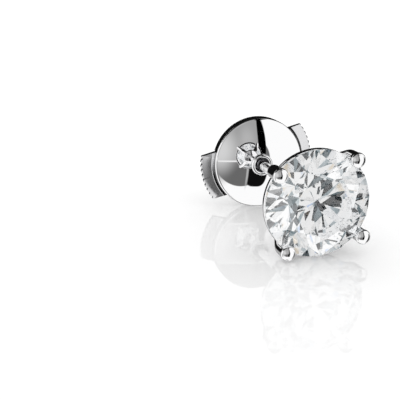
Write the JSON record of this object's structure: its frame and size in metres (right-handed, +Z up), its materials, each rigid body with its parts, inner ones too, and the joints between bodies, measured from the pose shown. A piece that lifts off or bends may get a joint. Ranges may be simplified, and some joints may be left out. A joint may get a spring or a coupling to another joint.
{
  "type": "stud earring",
  "caption": "Stud earring: a round brilliant in a claw basket soldered to its ear post, with a round domed locking clutch that is worked by thumb pads at its sides.",
  "frame": {"origin": "centre of the bounding box's bottom face: the stud lies on its side on z = 0, resting on a flat of the stone's girdle and the rim of the clutch", "axes": "+Y along the post from the stone to its tip, +Z up as it lies, +X to the right as the stone's table is looked at"},
  "size_m": [0.0096, 0.0156, 0.0075],
  "materials": {
    "diamond": "clear, facets polished",
    "polished_metal": "mirror-polished white gold",
    "pad_metal": "brushed white gold, ribbed edge"
  },
  "bodies": {
    "stud": {"stone": "diamond", "claw_setting": "polished_metal"},
    "clutch": {"clutch_disc": "polished_metal", "clutch_drum": "polished_metal"},
    "pad_right": {"thumb_pad_right": "pad_metal"},
    "pad_left": {"thumb_pad_left": "pad_metal"}
  },
  "joints": [
    {"name": "clutch_slide", "type": "slide", "parent": "stud", "child": "clutch", "axis": [0, 1, 0], "range_m": [0, 0.01]},
    {"name": "pad_right_press", "type": "slide", "parent": "clutch", "child": "pad_right", "axis": [-0.9659, 0, -0.2588], "range_m": [0, 0.0003], "stiffness_N_per_m": 600},
    {"name": "pad_left_press", "type": "slide", "parent": "clutch", "child": "pad_left", "axis": [0.9659, 0, 0.2588], "range_m": [0, 0.0003], "stiffness_N_per_m": 600}
  ]
}
